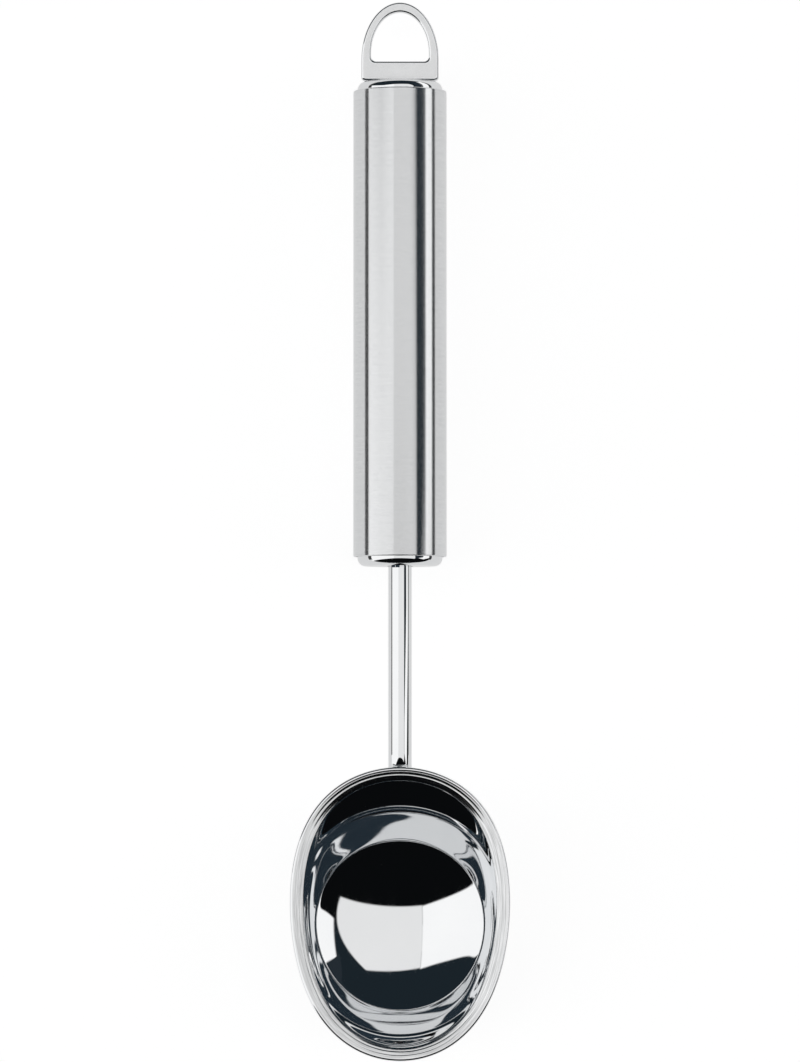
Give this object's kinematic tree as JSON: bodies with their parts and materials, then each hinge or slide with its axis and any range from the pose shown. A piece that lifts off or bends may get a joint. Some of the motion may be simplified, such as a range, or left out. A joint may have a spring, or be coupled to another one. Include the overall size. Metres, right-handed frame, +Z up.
{
  "type": "ice cream spoon",
  "caption": "Steel serving spoon with a deep round-bottomed oval bowl on a bent rod, a straight tubular handle closed by dished end caps, and a flat D-shaped hanging loop.",
  "frame": {"origin": "on the table under the middle of the spoon's length and width, with the spoon lying on its bowl and its handle", "axes": "+Z up, out of the bowl's hollow; +Y along the spoon from the bowl's tip to the hanging loop; X across the bowl"},
  "size_m": [0.047, 0.2264, 0.0235],
  "materials": {
    "polished_steel": "mirror-polished stainless steel, bare metal",
    "satin_steel": "stainless steel with a fine satin brushing across its length",
    "weld_steel": "cleaned stainless weld bead"
  },
  "bodies": {
    "root": {"bowl": "polished_steel", "shank": "polished_steel", "bowl_weld_left": "weld_steel", "bowl_weld_right": "weld_steel", "lower_end_cap": "polished_steel", "lower_cap_weld": "weld_steel", "shank_support": "satin_steel", "support_weld": "weld_steel", "handle_tube": "satin_steel", "upper_end_cap": "polished_steel", "hanging_loop": "satin_steel", "loop_weld": "weld_steel"}
  },
  "joints": []
}
